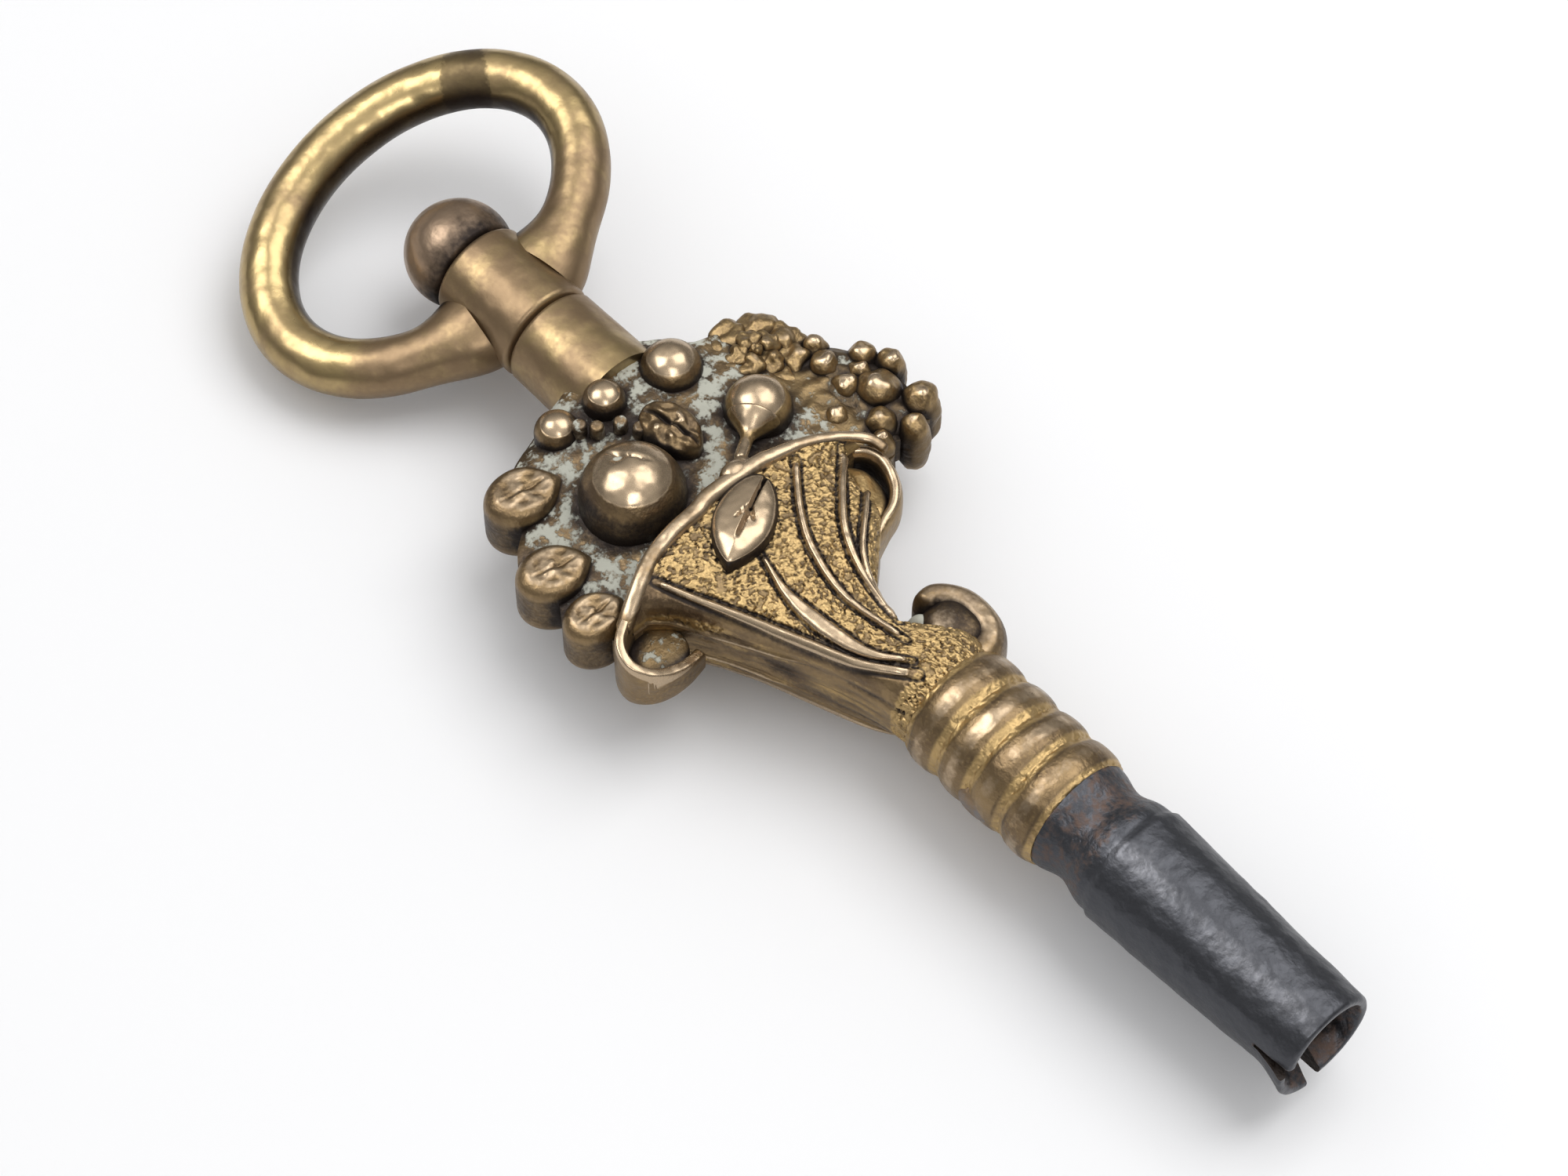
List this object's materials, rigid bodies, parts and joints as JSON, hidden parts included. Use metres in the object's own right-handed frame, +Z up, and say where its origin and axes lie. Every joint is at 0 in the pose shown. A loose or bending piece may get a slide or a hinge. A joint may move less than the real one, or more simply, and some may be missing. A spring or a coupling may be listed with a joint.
{
  "type": "winding key",
  "caption": "Small winding key with a square socket in a steel pipe, a cast horn-of-plenty body heaped with fruit, and an oval bow that swivels on a post.",
  "frame": {"origin": "on the key's axis, at the mouth of the winding pipe", "axes": "+X along the axis, out of the pipe's mouth; +Z up, through the front of the ornament as the key lies on its back; +Y to the side of the grapes"},
  "size_m": [0.0447, 0.0146, 0.006],
  "materials": {
    "dark_steel": "oxidised, worn along the top",
    "grey_steel": "dull grey",
    "gilt_brass": "gilt in the hollows, worn brown on the high spots",
    "aged_brass": "aged, satin",
    "button_metal": "reddish, worn smooth",
    "soft_solder": "dull grey filling, out of sight"
  },
  "bodies": {
    "key_body": {"winding_pipe": "dark_steel", "pipe_pin": "grey_steel", "ferrule": "gilt_brass", "horn_front": "gilt_brass", "horn_back": "gilt_brass", "solder_fill": "soft_solder", "tail_curl": "gilt_brass", "left_scroll": "gilt_brass", "right_scroll": "gilt_brass", "fruit_front": "gilt_brass", "fruit_back": "gilt_brass", "neck_sleeve": "aged_brass", "swivel_post": "grey_steel", "stud_button": "button_metal"},
    "bow": {"swivel_collar": "aged_brass", "bow_ring": "aged_brass"}
  },
  "joints": [
    {"name": "bow_swivel", "type": "hinge", "parent": "key_body", "child": "bow", "pos_m": [-0.0353, 0, 0], "axis": [1, 0, 0], "continuous": true}
  ]
}
